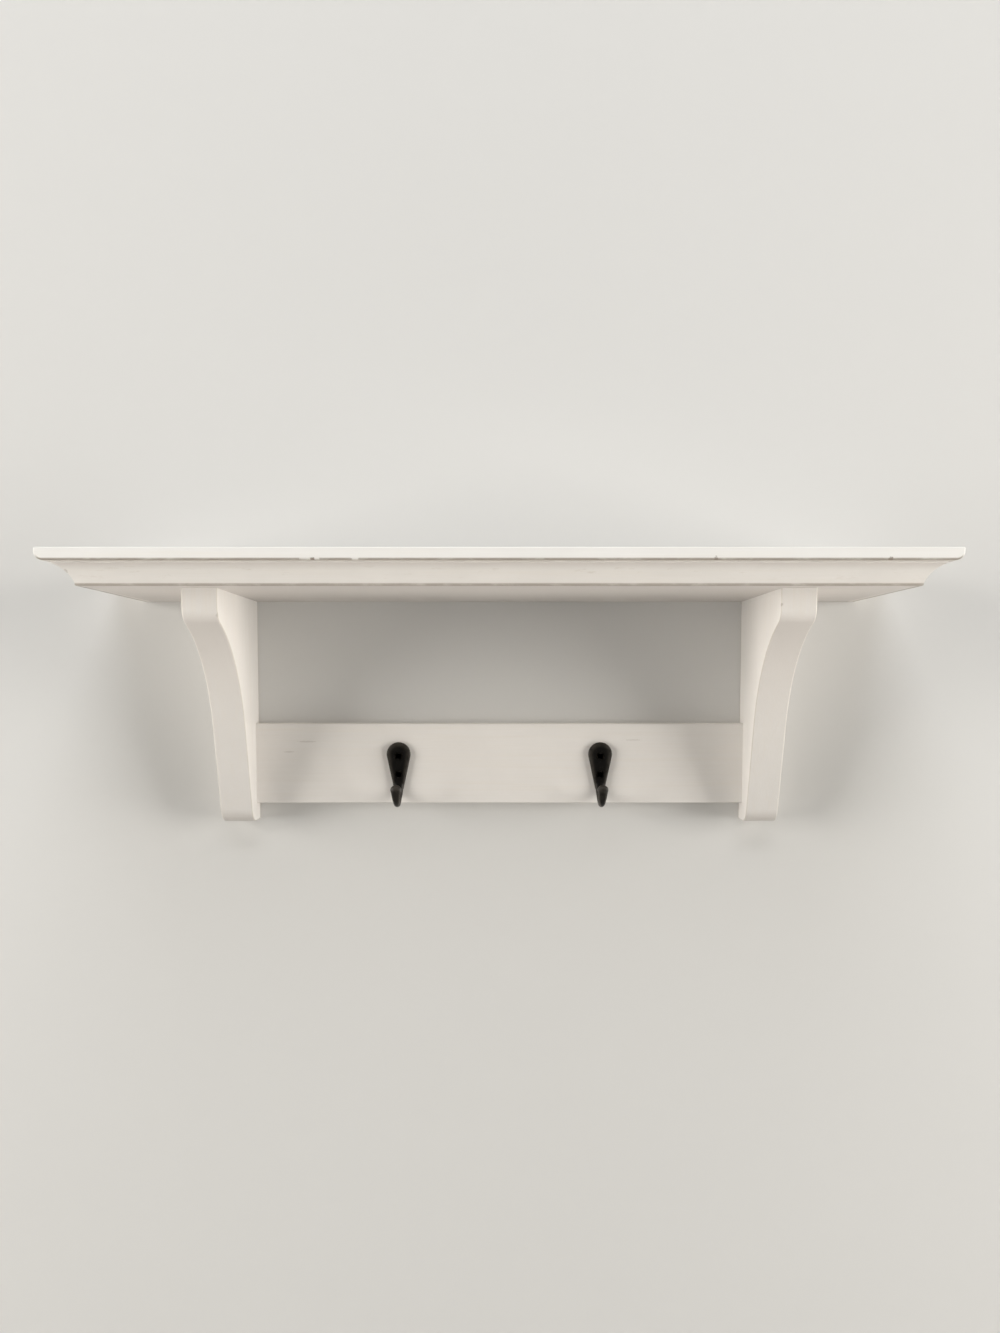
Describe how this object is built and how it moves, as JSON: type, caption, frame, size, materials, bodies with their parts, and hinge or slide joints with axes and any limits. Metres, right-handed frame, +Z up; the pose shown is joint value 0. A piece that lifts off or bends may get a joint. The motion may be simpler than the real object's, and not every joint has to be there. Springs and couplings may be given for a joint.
{
  "type": "wall shelf with hooks",
  "caption": "White painted wall shelf with a cove-moulded ledge, curved brackets and a rail with black cast hooks below.",
  "frame": {"origin": "midway between the round entries of the two keyholes, on the wall plane", "axes": "+X to the viewer's right along the shelf, +Y into the wall, +Z up"},
  "size_m": [0.61, 0.165, 0.1985],
  "materials": {
    "painted_wood": "off-white brushed paint, satin, lightly rubbed through along the edges",
    "black_cast_iron": "black, semi-matt, lightly cast texture",
    "black_steel": "black coated steel",
    "zinc_steel": "bright zinc plate",
    "beech": "bare beech",
    "bright_steel": "plain drawn steel wire"
  },
  "bodies": {
    "root": {"top_board": "painted_wood", "under_board": "painted_wood", "front_cove_moulding": "painted_wood", "hook_rail": "painted_wood", "left_cove_return": "painted_wood", "left_bracket": "painted_wood", "left_hook": "black_cast_iron", "left_keyhole_plate": "zinc_steel", "left_bracket_rear_screw": "zinc_steel", "left_bracket_front_screw": "zinc_steel", "left_keyhole_plate_lower_screw": "zinc_steel", "left_hook_lower_screw": "black_steel", "left_rail_lower_dowel": "beech", "left_keyhole_plate_upper_screw": "zinc_steel", "left_hook_upper_screw": "black_steel", "left_rail_upper_dowel": "beech", "left_return_pins": "bright_steel", "right_cove_return": "painted_wood", "right_bracket": "painted_wood", "right_hook": "black_cast_iron", "right_keyhole_plate": "zinc_steel", "right_bracket_rear_screw": "zinc_steel", "right_bracket_front_screw": "zinc_steel", "right_keyhole_plate_lower_screw": "zinc_steel", "right_hook_lower_screw": "black_steel", "right_rail_lower_dowel": "beech", "right_keyhole_plate_upper_screw": "zinc_steel", "right_hook_upper_screw": "black_steel", "right_rail_upper_dowel": "beech", "right_return_pins": "bright_steel", "top_board_pins": "bright_steel", "front_moulding_pins": "bright_steel"}
  },
  "joints": []
}
